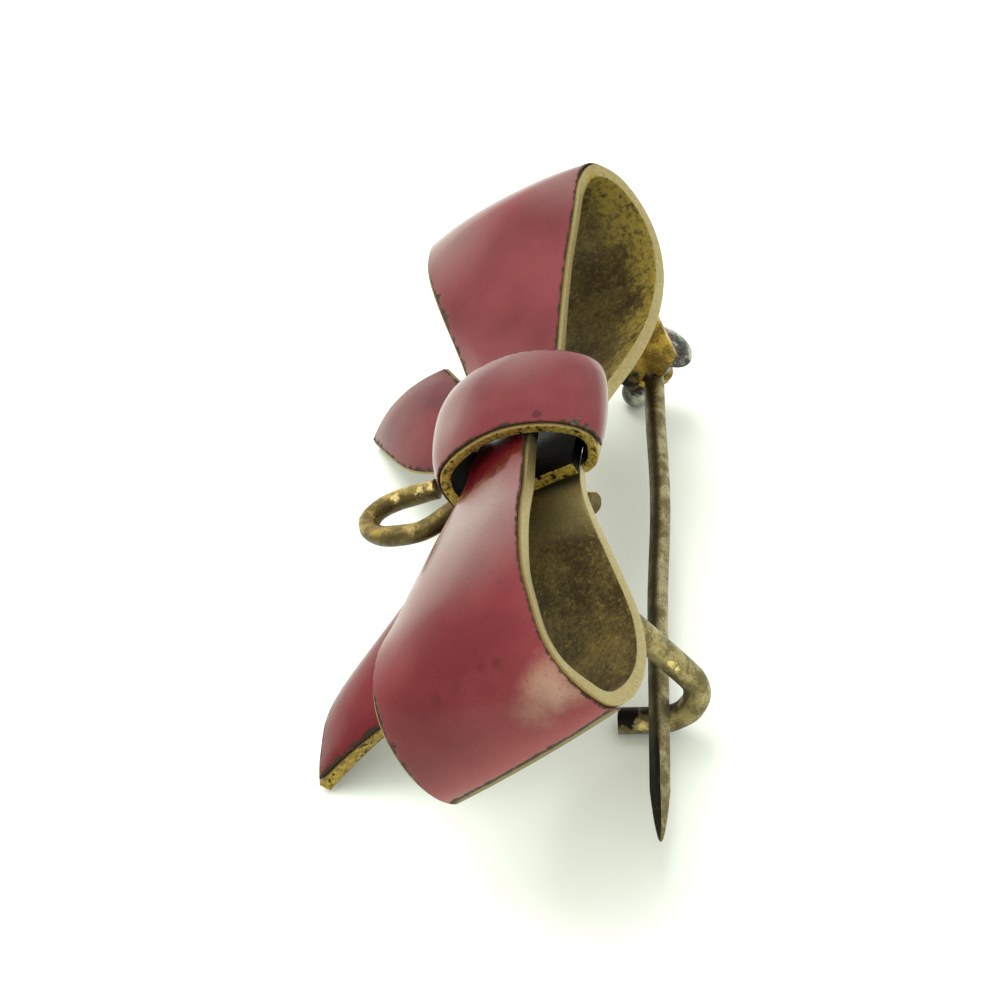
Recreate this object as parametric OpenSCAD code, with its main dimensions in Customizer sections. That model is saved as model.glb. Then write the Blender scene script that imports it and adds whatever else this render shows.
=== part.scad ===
// Enamelled bow brooch with a watch hook, laid on its back as it rests by itself.
// Every piece is drawn in the bow's own frame and then laid down as one:
// X is the rise, up as worn, Y is the reach to either side, Z is the depth, towards the front.

/* [Loops] */
// Reach of a loop's fold from the middle of the bow
loop_reach = 15; // [13:0.5:18]
// Half the height of the ribbon at the fold
loop_half = 4.4; // [3.8:0.1:5.2]
// Depth that a loop's front and back stand off the middle
loop_depth = 4.2; // [3.8:0.1:4.6]
// Thickness of the ribbon's sheet metal
sheet = 0.6; // [0.5:0.05:0.7]
// Height of the dome across the ribbon
loop_dome_height = 0.4; // [0.2:0.05:0.6]

/* [Tails] */
// Reach of a tail's cut end from the middle of the bow
tail_reach = 11.4; // [10:0.2:12.6]
// Drop of a tail's lower corner below the middle
tail_drop = 11.8; // [10.5:0.2:14]
// Depth of a tail's lower corner behind the middle
tail_depth = 2.5; // [2:0.1:3]
// Height of the dome across a tail
tail_dome_height = 0.65; // [0.3:0.05:0.9]

/* [Knot] */
// Rise of the knot band, from its lower end to its upper end
knot_height = 6.95; // [6.8:0.05:7.8]
// Depth of the knot band's crown in front of its ends
knot_depth = 3.6; // [3.5:0.05:4.4]
// Width of the knot band along the bow
knot_width = 4.4; // [3.4:0.1:5.2]
// Thickness of the knot band's metal
knot_sheet = 0.45; // [0.4:0.05:0.65]
// Barrel bulge of the band between its two rims
knot_bulge_height = 0.2; // [0:0.05:0.4]
// Backward tilt of the knot and the watch hook, degrees
knot_tilt = 10; // [8:0.5:12]

/* [Enamel] */
// Thickness of the enamel at its middle
enamel = 0.25; // [0.15:0.05:0.3]
// Bare metal rim left along each edge
rim = 0.15; // [0.1:0.05:0.4]

/* [Watch hook] */
// Wire diameter of the watch hook
hook_wire = 0.9; // [0.7:0.05:0.95]
// Width of the hook over both legs
hook_width = 3; // [2.8:0.1:3.6]
// Drop of the hook's curl below the middle of the bow
hook_drop = 8.4; // [7.8:0.1:9.4]
// Backward tilt of the hook, degrees
hook_tilt = 11.5; // [9:0.5:13]

/* [Catch] */
// Wire diameter of the catch
catch_wire = 1.16; // [0.9:0.02:1.3]
// Bend radius of the catch, to the middle of its wire
catch_bend = 1.85; // [1.7:0.05:2.1]
// Depth of the pin's middle behind the centre of the catch's bend
catch_play = 0.47; // [0.4:0.01:0.6]
// Length of the catch's straight squared end
catch_end = 1.5; // [0.8:0.1:1.8]
// Reach of the catch along the right loop
catch_reach = 6.5; // [5.8:0.1:7.5]
// Rise of the bend's centre above the pin's middle
catch_aside = 0.02; // [-0.1:0.01:0.1]

/* [Hinge] */
// Distance of the rivet inside the left loop's fold
hinge_inset = 1.9; // [1.6:0.1:2.4]
// Depth of the rivet behind the middle of the bow, at the pin
pivot_depth = 9.1; // [8.9:0.01:9.2]
// Rise of the pin and the rivet's middle
pivot_height = -0.1; // [-0.3:0.05:0.1]
// Tilt of the rivet along the bow's height, degrees
rivet_tilt = 27; // [22:1:30]
// Rivet diameter
rivet_d = 0.72; // [0.5:0.02:0.8]
// Diameter of the rivet's flat domed head
rivet_head_d = 2.6; // [2:0.1:3]
// Height of the domed head
head_height = 0.5; // [0.4:0.05:0.8]
// Diameter of the rivet's round knob
rivet_knob_d = 1.44; // [1.2:0.02:1.44]
// Distance of the knob's centre from the pin, along the rivet
knob_distance = 2.36; // [2:0.02:2.4]
// Sheet thickness of the hinge bracket
bracket_sheet = 0.34; // [0.26:0.02:0.4]
// Clear width between the bracket's two cheeks
bracket_gap = 0.92; // [0.88:0.02:1.1]
// Rise of the middle of the web where it meets the loop
web_foot_height = 1.4; // [1:0.05:2]
// Width of the web's lip in front of the domed head
web_lip = 1.1; // [0.6:0.05:1.3]
// Height of the lip's lower edge above the rivet
lip_height = 0; // [-0.3:0.05:0.5]
// Diameter of the cheeks' round ends
cheek_d = 1.9; // [1.7:0.1:2.2]
// Height of the cheeks above the rivet
cheek_height = 1.6; // [1.3:0.1:2]

/* [Pin] */
// Wire diameter of the pin stem
pin_wire = 0.92; // [0.8:0.02:0.96]
// Height of the stem's middle above the rivet's axis
stem_offset = 0.25; // [0.15:0.01:0.35]
// Depth of the pin's tip behind the middle of the bow
tip_depth = 10.35; // [10.1:0.05:10.5]
// Diameter of the blunted tip
tip_d = 0.24; // [0.1:0.02:0.3]
// Length of the pin stem from the rivet to the tip
pin_length = 26.3; // [25:0.1:27.5]
// Length of the ground point
point_length = 2.4; // [2:0.1:5]
// Outer diameter of the knuckle that turns on the rivet
knuckle_d = 1.5; // [1.3:0.02:1.6]
// Length of the collar from the rivet's axis
collar_length = 0.9; // [0.85:0.05:1.1]
// Running clearance between the knuckle and the rivet, on the radius
running_gap = 0.04; // [0.02:0.01:0.08]

/* [Hidden] */
$fn = 64;

// Gap that is left between pieces that are soldered or laid on each other
seat_gap = 0.03;
// Gap under the foot of a finding on the curved back of a loop
solder_gap = 0.3;
// Share of the enamel's thickness that is left at its own edges
enamel_edge = 0.4;
// Number of steps between two rows of a ribbon's table, and across a ribbon
row_steps = 3;
cross_steps = 6;
// Number of sides of a bent wire
wire_sides = 16;

// Ribbon tables: one row for each section along the strip, from the knot's front to its back.
// Columns: reach, rise and depth of the upper edge, the same of the lower edge, and the dome.
// They are shares of the loop's reach, half height, depth and dome.
RIGHT_LOOP = [
    [0.02, 0.46, 0.35, 0.02, -0.43, 0.17, 0.6],
    [0.15, 0.48, 0.39, 0.15, -0.44, 0.18, 0.8],
    [0.32, 0.55, 0.46, 0.31, -0.66, 0.25, 0.9],
    [0.47, 0.61, 0.56, 0.47, -0.78, 0.36, 1.0],
    [0.65, 0.68, 0.57, 0.63, -0.85, 0.50, 1.0],
    [0.77, 0.76, 0.51, 0.76, -0.90, 0.63, 0.9],
    [0.88, 0.82, 0.39, 0.88, -0.94, 0.56, 0.8],
    [0.96, 0.89, 0.18, 0.96, -0.98, 0.28, 0.6],
    [0.99, 0.95, -0.12, 1.00, -1.01, -0.14, 0.4],
    [0.97, 0.96, -0.45, 0.99, -1.02, -0.55, 0.3],
    [0.88, 0.96, -0.73, 0.91, -1.02, -0.88, 0.2],
    [0.75, 0.94, -0.90, 0.76, -1.00, -1.03, 0.0],
    [0.59, 0.89, -0.86, 0.59, -0.94, -0.98, 0.0],
    [0.42, 0.78, -0.60, 0.42, -0.82, -0.66, 0.0],
    [0.25, 0.64, -0.37, 0.27, -0.66, -0.20, 0.0],
    [0.15, 0.57, -0.36, 0.16, -0.48, -0.11, 0.0],
    [0.06, 0.55, -0.36, 0.06, -0.45, -0.11, 0.0]];
LEFT_LOOP = [
    [0.02, 0.46, 0.08, 0.02, -0.43, 0.13, 0.6],
    [0.15, 0.48, 0.07, 0.15, -0.44, 0.13, 0.8],
    [0.30, 0.52, 0.08, 0.30, -0.57, 0.15, 0.9],
    [0.43, 0.59, 0.16, 0.42, -0.67, 0.24, 1.0],
    [0.60, 0.67, 0.22, 0.59, -0.79, 0.49, 1.0],
    [0.76, 0.77, 0.27, 0.73, -0.87, 0.62, 0.9],
    [0.87, 0.85, 0.33, 0.86, -0.92, 0.55, 0.8],
    [0.94, 0.93, 0.25, 0.95, -0.97, 0.28, 0.6],
    [0.97, 0.98, -0.06, 0.99, -1.01, -0.14, 0.4],
    [0.95, 1.00, -0.39, 0.98, -1.02, -0.55, 0.3],
    [0.89, 0.98, -0.75, 0.90, -1.02, -0.88, 0.2],
    [0.77, 0.94, -0.97, 0.77, -1.00, -1.04, 0.0],
    [0.59, 0.89, -0.97, 0.59, -0.94, -1.00, 0.0],
    [0.41, 0.78, -0.84, 0.41, -0.82, -0.82, 0.0],
    [0.22, 0.63, -0.61, 0.22, -0.58, -0.55, 0.0],
    [0.08, 0.57, -0.42, 0.08, -0.27, -0.30, 0.0],
    [-0.07, 0.55, -0.18, -0.07, -0.17, -0.02, 0.0],
    [-0.19, 0.54, -0.14, -0.19, -0.14, -0.03, 0.0]];
// Rows of each loop's table between which it carries enamel, from inside the knot to the fold
enamel_first_row = 1 / 3;
enamel_last_row = 28 / 3;

// One row for each section along a tail, from behind the knot to the cut end.
// Shares of the tail's reach, drop, depth and dome.
RIGHT_TAIL = [
    [0.02, -0.12, -0.80, 0.02, -0.26, -0.72, 0.2],
    [0.17, -0.19, -0.83, 0.14, -0.44, -0.72, 0.5],
    [0.41, -0.29, -0.84, 0.35, -0.67, -0.78, 0.8],
    [0.65, -0.42, -0.88, 0.60, -0.95, -0.86, 0.9],
    [0.75, -0.50, -0.90, 0.80, -1.00, -0.95, 0.6],
    [0.80, -0.57, -0.92, 0.93, -1.00, -1.00, 0.3]];
LEFT_TAIL = [
    [0.02, -0.12, -0.80, 0.02, -0.26, -0.72, 0.2],
    [0.20, -0.19, -0.83, 0.24, -0.44, -0.72, 0.5],
    [0.43, -0.29, -0.84, 0.41, -0.68, -0.80, 0.9],
    [0.70, -0.42, -0.88, 0.61, -0.84, -0.89, 1.0],
    [0.96, -0.58, -0.92, 0.83, -0.99, -1.14, 1.0]];
// Rows of each tail's table between which it carries enamel
right_tail_rows = [0.6, 4.9];
left_tail_rows = [0.6, 3.95];

// Middle line of the hook's wire, from its end behind the right loop round to its free end.
// Columns: share of the hook's drop and share of half its width, to the middle of the wire.
HOOK = [
    [0.365, -2.95], [0.025, -1.67], [-0.20, -0.76], [-0.365, -0.40], [-0.503, -0.94], [-0.654, -1.38],
    [-0.805, -1.18], [-0.918, -0.85], [-0.987, -0.34], [-1.00, 0.15], [-0.956, 0.62], [-0.868, 0.84],
    [-0.73, 0.84], [-0.59, 0.76]];

// Outline of the knot band, from its lower end over the front to its upper end.
// Columns: share of the band's height and share of its depth.
KNOT = [
    [0.05, 0.00], [0.01, 0.10], [0.00, 0.31], [0.01, 0.51], [0.06, 0.70], [0.16, 0.84],
    [0.29, 0.94], [0.44, 1.00], [0.59, 1.00], [0.74, 0.92], [0.87, 0.79], [0.97, 0.60],
    [1.00, 0.41], [0.97, 0.23], [0.93, 0.11], [0.88, 0.04], [0.83, 0.02]];
// Rise and depth of the band's lower end, in the knot's tilted frame
knot_low = [-2.86, -0.8];
// Rows of the outline between which the band carries enamel
knot_enamel_rows = [0.8, 12.6];

// A point on a smooth curve through a table's rows, at a row number with a fraction
function smooth(a, b, c, d, f) =
    0.5 * (2 * b + (c - a) * f + (2 * a - 5 * b + 4 * c - d) * f * f + (3 * b - a - 3 * c + d) * f * f * f);
function between(t, s) =
    let (k = max(0, min(len(t) - 2, floor(s))), f = s - k,
         before = k > 0 ? t[k - 1] : 2 * t[0] - t[1],
         after = k + 2 < len(t) ? t[k + 2] : 2 * t[k + 1] - t[k])
    smooth(before, t[k], t[k + 1], after, f);
function unit(v) = v / norm(v);

// A point on a ribbon: s is the row along it, u goes from -1 at the upper edge to 1 at the lower
function ribbon_edge(row, size, lower) =
    let (o = lower ? 3 : 0) [row[o + 1] * size[1], row[o] * size[0], row[o + 2] * size[2]];
function ribbon_point(t, size, s, u) =
    let (row = between(t, s), near = between(t, s + 0.05),
         top = ribbon_edge(row, size, false), low = ribbon_edge(row, size, true),
         along = ribbon_edge(near, size, false) + ribbon_edge(near, size, true) - top - low,
         out = unit(cross(along, low - top)))
    (top * (1 - u) + low * (1 + u)) / 2 + out * row[6] * size[3] * (1 - u * u);
function ribbon_out(t, size, s, u) =
    let (e = 0.02, ds = ribbon_point(t, size, s + e, u) - ribbon_point(t, size, s - e, u),
         du = ribbon_point(t, size, s, u + e) - ribbon_point(t, size, s, u - e))
    unit(cross(ds, du));

// A point on the knot band: s is the row of its outline, u goes from -1 to 1 across its width
function knot_point(s, u) =
    let (row = between(KNOT, s), e = 0.02, ds = between(KNOT, s + e) - between(KNOT, s - e),
         out = unit([-ds[1] * knot_depth, ds[0] * knot_height]),
         p = [knot_low[0] + row[0] * knot_height, knot_low[1] + row[1] * knot_depth]
             + out * knot_bulge_height * (1 - u * u))
    [p[0] * cos(knot_tilt) + p[1] * sin(knot_tilt), u * knot_width / 2,
     p[1] * cos(knot_tilt) - p[0] * sin(knot_tilt)];
function knot_out(s, u) =
    let (e = 0.02, ds = knot_point(s + e, u) - knot_point(s - e, u),
         du = knot_point(s, u + e) - knot_point(s, u - e))
    unit(cross(ds, du));

// Faces of a closed shell between two grids of n by m points, the outer grid first
function quad(a, b, c, d) = [[a, b, c], [a, c, d]];
function shell_faces(n, m) =
    let (o = function (i, j) i * m + j, k = function (i, j) n * m + i * m + j)
    [for (i = [0 : n - 2]) each concat(
        [for (j = [0 : m - 2]) each quad(o(i, j), o(i, j + 1), o(i + 1, j + 1), o(i + 1, j))],
        [for (j = [0 : m - 2]) each quad(k(i, j), k(i + 1, j), k(i + 1, j + 1), k(i, j + 1))],
        quad(o(i, 0), o(i + 1, 0), k(i + 1, 0), k(i, 0)),
        quad(o(i, m - 1), k(i, m - 1), k(i + 1, m - 1), o(i + 1, m - 1))),
     for (j = [0 : m - 2]) each concat(
        quad(o(0, j), k(0, j), k(0, j + 1), o(0, j + 1)),
        quad(o(n - 1, j), o(n - 1, j + 1), k(n - 1, j + 1), k(n - 1, j)))];

// A shell from point and outward functions of s and u, between two heights above the surface
function spread(a, b, n) = [for (i = [0 : n]) a + (b - a) * i / n];
module shell(point, out, rows, margin, high, low) {
    us = spread(-1, 1, cross_steps);
    at = function (s, u, h) point(s, u * (1 - margin(s))) + out(s, u * (1 - margin(s))) * h;
    outer = [for (s = rows, u = us) at(s, u, high(s, u))];
    inner = [for (s = rows, u = us) at(s, u, low)];
    polyhedron(concat(outer, inner), shell_faces(len(rows), len(us)), convexity = 8);
}
// Height of the enamel: full in its middle, thinner along its own border
function enamel_height(rows, s, u) =
    let (a = (s - rows[0]) / (rows[len(rows) - 1] - rows[0]), e = pow(abs(u), 4), f = pow(abs(2 * a - 1), 12))
    seat_gap + enamel * (1 - (1 - enamel_edge) * max(e, f));

// The sheet metal of a ribbon, and the enamel on its front
module ribbon_sheet(t, size) {
    rows = spread(0, len(t) - 1, (len(t) - 1) * row_steps);
    shell(function (s, u) ribbon_point(t, size, s, u), function (s, u) ribbon_out(t, size, s, u),
          rows, function (s) 0, function (s, u) 0, -sheet);
}
module ribbon_enamel(t, size, first, last) {
    rows = spread(first, last, ceil((last - first) * row_steps));
    width = function (s) norm(ribbon_point(t, size, s, 1) - ribbon_point(t, size, s, -1));
    shell(function (s, u) ribbon_point(t, size, s, u), function (s, u) ribbon_out(t, size, s, u),
          rows, function (s) 2 * rim / width(s), function (s, u) enamel_height(rows, s, u), seat_gap);
}

// Where a finding meets the back of a loop: the depth there at a given reach and rise
loop_size = [loop_reach, loop_half, loop_depth, loop_dome_height];
tail_size = [tail_reach, tail_drop, tail_depth, tail_dome_height];
function back_row(t, reach, lo, hi, n = 18) =
    let (mid = (lo + hi) / 2, there = between(t, mid)[0] * loop_reach)
    n == 0 ? mid : there > reach ? back_row(t, reach, mid, hi, n - 1) : back_row(t, reach, lo, mid, n - 1);
function back_depth(t, reach, rise) =
    let (s = back_row(t, reach, fold_row, len(t) - 1), row = between(t, s),
         top = row[1] * loop_half, low = row[4] * loop_half)
    ribbon_point(t, loop_size, s, 2 * (top - rise) / (top - low) - 1)[2];
// Rows of a loop's table at its fold and at the root of its back
fold_row = 8;
root_row = 15;

// Pin and hinge
hinge_reach = loop_reach - hinge_inset;
stem_height = pivot_height - stem_offset * sin(rivet_tilt);
stem_depth = pivot_depth - stem_offset * cos(rivet_tilt);
stem_slope = atan((tip_depth - stem_depth) / pin_length);
cheek_in = bracket_gap / 2;
cheek_out = cheek_in + bracket_sheet;
web_distance = rivet_head_d / 2 + running_gap;
bore_d = rivet_d + 2 * seat_gap;
neck_d = 0.84 * pin_wire;
taper_d = 0.9 * pin_wire;
web_bottom = stem_offset + pin_wire / 2 + running_gap;
web_near = hinge_reach - web_distance - bracket_sheet;
web_foot = back_depth(LEFT_LOOP, web_near, web_foot_height) - solder_gap;

// Catch
catch_angle = 125;
catch_depth = stem_depth + (hinge_reach + catch_reach) * tan(stem_slope) - catch_play;
catch_centre = [stem_height + catch_aside, -catch_depth];
catch_foot = back_depth(RIGHT_LOOP, catch_reach, catch_centre[0] + catch_bend) - solder_gap;
catch_tip = catch_centre + catch_bend * [cos(catch_angle), -sin(catch_angle)]
            + catch_end * [-sin(catch_angle), -cos(catch_angle)];
catch_low = catch_tip + catch_wire / 2 * [cos(catch_angle), -sin(catch_angle)];

// Hook: its plane lies just behind the root of the right loop's back
hook_root = RIGHT_LOOP[root_row];
hook_level = hook_root[1] * loop_half * sin(hook_tilt) + hook_root[2] * loop_depth * cos(hook_tilt)
             - hook_wire / 2 - 3 * seat_gap;

// How it lies: on both tails, the end of the catch and the rivet's knob
tip_row = RIGHT_TAIL[len(RIGHT_TAIL) - 1];
tip_low = [tip_row[4] * tail_drop, tip_row[5] * tail_depth - sheet];
lean = atan((tip_low[1] - catch_low[1]) / (catch_low[0] - tip_low[0]));
lift = -(tip_low[0] * sin(lean) + tip_low[1] * cos(lean));
catch_side = catch_centre[0] * cos(lean) + catch_depth * sin(lean) + catch_bend + catch_wire / 2;
tail_side = tip_low[0] * cos(lean) - tip_low[1] * sin(lean);
shift = -(catch_side + tail_side) / 2;

module as_laid() {
    translate([shift, 0, lift]) rotate([0, -lean, 0]) children();
}

module right_loop() {
    as_laid() mirror([0, 1, 0]) color("darkgoldenrod") ribbon_sheet(RIGHT_LOOP, loop_size);
}

module left_loop() {
    as_laid() color("darkgoldenrod") ribbon_sheet(LEFT_LOOP, loop_size);
}

module right_loop_enamel() {
    as_laid() mirror([0, 1, 0]) color("indianred")
        ribbon_enamel(RIGHT_LOOP, loop_size, enamel_first_row, enamel_last_row);
}

module left_loop_enamel() {
    as_laid() color("indianred")
        ribbon_enamel(LEFT_LOOP, loop_size, enamel_first_row, enamel_last_row);
}

module right_tail() {
    as_laid() mirror([0, 1, 0]) color("darkgoldenrod") ribbon_sheet(RIGHT_TAIL, tail_size);
}

module left_tail() {
    as_laid() color("darkgoldenrod") ribbon_sheet(LEFT_TAIL, tail_size);
}

module right_tail_enamel() {
    as_laid() mirror([0, 1, 0]) color("indianred")
        ribbon_enamel(RIGHT_TAIL, tail_size, right_tail_rows[0], right_tail_rows[1]);
}

module left_tail_enamel() {
    as_laid() color("indianred")
        ribbon_enamel(LEFT_TAIL, tail_size, left_tail_rows[0], left_tail_rows[1]);
}

module knot_band() {
    rows = spread(0, len(KNOT) - 1, (len(KNOT) - 1) * 2);
    as_laid() color("goldenrod")
        shell(function (s, u) knot_point(s, u), function (s, u) knot_out(s, u),
              rows, function (s) 0, function (s, u) 0, -knot_sheet);
}

module knot_enamel() {
    rows = spread(knot_enamel_rows[0], knot_enamel_rows[1], 24);
    as_laid() color("firebrick")
        shell(function (s, u) knot_point(s, u), function (s, u) knot_out(s, u),
              rows, function (s) 2 * rim / knot_width, function (s, u) enamel_height(rows, s, u), seat_gap);
}

// A round wire along a flat path in the XY plane, closed by a flat face at each end
module wire(path, d) {
    n = len(path);
    m = wire_sides;
    along = function (i) unit(path[min(n - 1, i + 1)] - path[max(0, i - 1)]);
    points = [for (i = [0 : n - 1], k = [0 : m - 1]) let (t = along(i), a = 360 * k / m)
              [path[i][0] - t[1] * cos(a) * d / 2, path[i][1] + t[0] * cos(a) * d / 2, sin(a) * d / 2]];
    at = function (i, k) i * m + k % m;
    faces = [[for (k = [0 : m - 1]) at(0, k)], [for (k = [m - 1 : -1 : 0]) at(n - 1, k)],
             for (i = [0 : n - 2], k = [0 : m - 1]) each
                 quad(at(i, k), at(i + 1, k), at(i + 1, k + 1), at(i, k + 1))];
    polyhedron(points, faces, convexity = 6);
}
function arc(centre, radius, from, to, n) =
    [for (a = spread(from, to, n)) centre + radius * [cos(a), sin(a)]];

module watch_hook() {
    path = [for (s = spread(0, len(HOOK) - 1, (len(HOOK) - 1) * row_steps)) let (p = between(HOOK, s))
            [p[0] * (hook_drop - hook_wire / 2), p[1] * (hook_width - hook_wire) / 2]];
    as_laid() rotate([0, hook_tilt, 0]) translate([0, 0, hook_level]) color("goldenrod")
        wire(path, hook_wire);
}

module catch() {
    bend = arc(catch_centre, catch_bend, 0, -catch_angle, 12);
    as_laid() translate([0, -catch_reach, 0]) rotate([90, 0, 0]) color("olive")
        wire([[catch_centre[0] + catch_bend, catch_foot], each bend, catch_tip], catch_wire);
}

// The rivet's own frame: X runs along the rivet
module at_pivot() {
    as_laid() translate([pivot_height, hinge_reach, -pivot_depth]) rotate([0, -rivet_tilt, 0]) children();
}
module along_rivet(from, to, d) {
    translate([from, 0, 0]) rotate([0, 90, 0]) cylinder(d = d, h = to - from);
}

module hinge_bracket() {
    foot = [pivot_height, -pivot_depth];
    turn = function (p) [p[0] * cos(rivet_tilt) - p[1] * sin(rivet_tilt),
                         p[0] * sin(rivet_tilt) + p[1] * cos(rivet_tilt)];
    half = cheek_out + web_lip / 2;
    web = [foot + turn([-cheek_out, web_bottom]), foot + turn([cheek_in, web_bottom]),
           foot + turn([cheek_in, lip_height]), foot + turn([cheek_out + web_lip, lip_height]),
           [web_foot_height + half, web_foot], [web_foot_height - half, web_foot],
           foot + turn([-cheek_out, cheek_height])];
    color("goldenrod") {
        as_laid() translate([0, web_near + bracket_sheet, 0]) rotate([90, 0, 0])
            linear_extrude(bracket_sheet) polygon(web);
        at_pivot() difference() {
            for (x = [-cheek_out, cheek_in]) {
                along_rivet(x, x + bracket_sheet, cheek_d);
                translate([x, -web_distance, 0]) cube([bracket_sheet, web_distance, cheek_d / 2]);
                translate([x, -web_distance, cheek_d / 4])
                    cube([bracket_sheet, web_distance + cheek_d / 3, cheek_height - cheek_d / 4]);
            }
            along_rivet(-cheek_out - 1, cheek_out + 1, bore_d);
        }
    }
}

module hinge_rivet() {
    head_ball = (rivet_head_d * rivet_head_d / 4 + head_height * head_height) / (2 * head_height);
    seat = cheek_out + seat_gap;
    at_pivot() rotate([0, 90, 0]) color("dimgray") rotate_extrude() union() {
        translate([0, -knob_distance]) square([rivet_d / 2, knob_distance + seat + head_height / 2]);
        intersection() {
            translate([0, -knob_distance]) circle(d = rivet_knob_d);
            translate([0, -knob_distance - rivet_knob_d]) square(2 * rivet_knob_d);
        }
        intersection() {
            translate([0, seat + head_height - head_ball]) circle(r = head_ball);
            translate([0, seat]) square([rivet_head_d / 2, rivet_head_d]);
        }
    }
}

module pin_knuckle() {
    half = cheek_in - running_gap;
    at_pivot() color("dimgray") difference() {
        union() {
            along_rivet(-half, half, knuckle_d);
            translate([0, 0, stem_offset]) rotate([90, 0, 0])
                cylinder(r = half - running_gap / 2, h = collar_length);
        }
        along_rivet(-cheek_in, cheek_in, rivet_d + 2 * running_gap);
    }
}

module pin_stem() {
    neck = web_distance + bracket_sheet + 2 * running_gap - collar_length;
    shank = hinge_reach + catch_reach - catch_wire / 2 - collar_length - neck;
    taper = pin_length - collar_length - neck - shank - point_length;
    as_laid() translate([stem_height, hinge_reach, -stem_depth])
        rotate([90 + stem_slope, 0, 0]) translate([0, 0, collar_length + seat_gap]) color("darkkhaki") {
            cylinder(d1 = neck_d, d2 = pin_wire, h = neck);
            translate([0, 0, neck]) cylinder(d = pin_wire, h = shank);
            translate([0, 0, neck + shank]) cylinder(d1 = pin_wire, d2 = taper_d, h = taper);
            translate([0, 0, neck + shank + taper]) cylinder(d1 = taper_d, d2 = tip_d, h = point_length);
        }
}

right_loop();
left_loop();
right_loop_enamel();
left_loop_enamel();
right_tail();
left_tail();
right_tail_enamel();
left_tail_enamel();
knot_band();
knot_enamel();
watch_hook();
catch();
hinge_bracket();
hinge_rivet();
pin_knuckle();
pin_stem();
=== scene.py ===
"""Looks of an enamelled bow brooch that lies on its back on a pale table.

Each piece keeps the place and size of the CAD node that it stands for. Sheet, enamel and bent
wires are finer copies of their nodes, rounded, smoothed and worn. The pin is drawn out anew.
Sizes are in millimetres where nothing else is said. Meshes are made in metres.
"""

import logging
import math
from contextlib import contextmanager
from dataclasses import dataclass, field
from enum import Enum
from typing import Iterator, Optional, Sequence

import bpy
import numpy as np
from mathutils import Matrix, Quaternion, Vector
from mathutils.kdtree import KDTree


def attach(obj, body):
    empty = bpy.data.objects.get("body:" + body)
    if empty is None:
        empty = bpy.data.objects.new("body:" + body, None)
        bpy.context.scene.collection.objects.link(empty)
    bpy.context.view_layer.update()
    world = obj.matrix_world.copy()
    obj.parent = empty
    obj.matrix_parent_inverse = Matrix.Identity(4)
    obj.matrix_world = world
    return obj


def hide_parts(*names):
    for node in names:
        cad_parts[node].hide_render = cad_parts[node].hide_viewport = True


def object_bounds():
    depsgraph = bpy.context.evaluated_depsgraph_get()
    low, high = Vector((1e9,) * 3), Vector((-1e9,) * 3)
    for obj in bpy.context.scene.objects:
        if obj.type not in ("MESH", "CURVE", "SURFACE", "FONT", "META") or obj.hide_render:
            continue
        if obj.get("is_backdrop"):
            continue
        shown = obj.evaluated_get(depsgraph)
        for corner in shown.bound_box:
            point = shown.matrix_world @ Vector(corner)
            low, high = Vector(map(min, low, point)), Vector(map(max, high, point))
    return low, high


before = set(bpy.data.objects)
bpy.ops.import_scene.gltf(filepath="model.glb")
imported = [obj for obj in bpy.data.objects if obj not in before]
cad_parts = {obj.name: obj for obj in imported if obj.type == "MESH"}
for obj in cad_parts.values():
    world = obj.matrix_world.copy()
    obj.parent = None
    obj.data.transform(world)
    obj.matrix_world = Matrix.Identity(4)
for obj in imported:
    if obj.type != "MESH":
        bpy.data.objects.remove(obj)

log = logging.getLogger("brooch")

MM = 0.001
WELD = 0.002 * MM
RIM_STEP = 0.1 * MM
SHARP_EDGE = math.radians(42)
SMOOTH_EDGE = math.radians(38)
Colour = tuple[float, float, float]
Place = tuple[float, float, float]


def dimmed(colour: Colour, share: float) -> Colour:
    """Returns a colour at a share of its brightness."""
    red, green, blue = colour
    return red * share, green * share, blue * share


class Region(Enum):
    """What a piece of sheet metal turns its inner face to."""

    LOOP = "loop"
    TAIL = "tail"
    KNOT = "knot"


@dataclass(frozen=True)
class BowFrame:
    """The bow's own frame as it lies: rise up as worn, reach to the sides, depth to the front.

    Attributes:
        lean_deg: Angle between the rise and the table.
        middle: Middle of the knot in the row frame.
    """

    lean_deg: float = 39.987
    middle: Place = (-0.670, 0.0, 9.958)

    def axes(self) -> Matrix:
        """Works out the bow's directions.

        Returns:
            The rise, reach and depth directions as the rows of a matrix.
        """
        lean = math.radians(self.lean_deg)
        rise = (math.cos(lean), 0, math.sin(lean))
        depth = (-math.sin(lean), 0, math.cos(lean))
        return Matrix((rise, (0, 1, 0), depth))

    def point(self, rise: float, reach: float, depth: float) -> Vector:
        """Returns the place in the row frame, in metres, of a point of the bow in millimetres."""
        local = self.axes().transposed() @ Vector((rise, reach, depth))
        return (local + Vector(self.middle)) * MM

    def seen_from_bow(self, place: Vector) -> Vector:
        """Returns a place of the row frame, in metres, in the bow's frame in millimetres."""
        return self.axes() @ (place / MM - Vector(self.middle))


BOW = BowFrame()


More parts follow.
